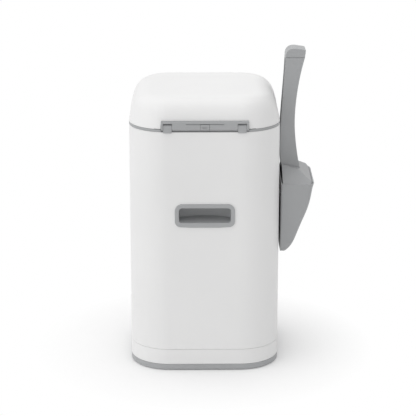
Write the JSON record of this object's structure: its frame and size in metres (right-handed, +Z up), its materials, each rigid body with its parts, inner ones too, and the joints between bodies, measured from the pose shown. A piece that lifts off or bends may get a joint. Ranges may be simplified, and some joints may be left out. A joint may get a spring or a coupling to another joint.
{
  "type": "litter disposal pail",
  "caption": "Upright litter disposal pail with a hinged domed lid, film cassette with a sprung clamp, front door, rear hand grip and a scoop in a side holder.",
  "frame": {"origin": "centre of the pail's base, on the floor", "axes": "+Z up; -Y is the user's side with the door and pull handle, +Y the side with the lid's hinge, -X the side with the scoop"},
  "size_m": [0.284, 0.2505, 0.4885],
  "materials": {
    "shell_white": "smooth white moulded plastic, satin",
    "trim_grey": "light grey moulded plastic",
    "base_grey": "grey moulded plastic",
    "scoop_grey": "grey moulded plastic, fine texture",
    "inner_white": "plain white moulded plastic",
    "inner_grey": "grey moulded plastic",
    "rubber": "soft dark rubber",
    "seal": "soft grey rubber",
    "steel": "zinc plated steel",
    "film": "thin gathered plastic film"
  },
  "bodies": {
    "pail": {"grip_ring": "rubber", "base_tray": "base_grey", "base_skirt": "shell_white", "base_screws": "steel", "outer_casing": "shell_white", "rear_grip_cup": "trim_grey", "top_collar": "trim_grey", "hinge_pins": "steel", "head_frame": "inner_white", "head_screws": "steel", "cassette_body": "inner_grey", "film_pack": "film", "cassette_cover": "inner_grey", "film_sleeve": "film", "clamp_frame": "inner_grey", "clamp_screws": "steel", "fixed_jaw": "inner_grey", "fixed_jaw_lip": "rubber", "handle_bezel": "trim_grey", "return_springs": "steel", "film_cutter": "trim_grey", "cutter_blade": "steel", "door_frame": "inner_white", "door_pins": "steel", "door_magnet": "steel"},
    "lid": {"lid_shell": "shell_white", "lid_liner": "inner_white", "lid_seal": "seal", "lid_screws": "steel", "lid_tab": "trim_grey", "hinge_bar": "trim_grey"},
    "latch_tab": {"release_tab": "trim_grey"},
    "puller": {"pull_handle": "trim_grey", "sliding_jaw": "inner_grey", "sliding_jaw_lip": "rubber", "jaw_pins": "steel"},
    "door": {"door_panel": "shell_white", "door_pan": "inner_white", "strike_plate": "steel"},
    "holder": {"scoop_holder": "scoop_grey"},
    "scoop": {"scoop": "scoop_grey", "scoop_cap": "scoop_grey"}
  },
  "joints": [
    {"name": "lid_hinge", "type": "hinge", "parent": "pail", "child": "lid", "pos_m": [0, 0.108, 0.3887], "axis": [-1, 0, 0], "range_deg": [0, 95]},
    {"name": "tab_press", "type": "slide", "parent": "lid", "child": "latch_tab", "axis": [0, -1, 0], "range_m": [0, 0.0012], "stiffness_N_per_m": 400, "springref_m": -0.001},
    {"name": "clamp_pull", "type": "slide", "parent": "pail", "child": "puller", "axis": [0, -1, 0], "range_m": [0, 0.06], "stiffness_N_per_m": 150, "springref_m": -0.02},
    {"name": "door_swing", "type": "hinge", "parent": "pail", "child": "door", "pos_m": [0.074, -0.102, 0.155], "axis": [0, 0, 1], "range_deg": [0, 80]},
    {"name": "holder_unhook", "type": "slide", "parent": "pail", "child": "holder", "axis": [0, 0, 1], "range_m": [0, 0.008]},
    {"name": "scoop_lift", "type": "slide", "parent": "holder", "child": "scoop", "axis": [0, 0, 1], "range_m": [0, 0.12]}
  ]
}
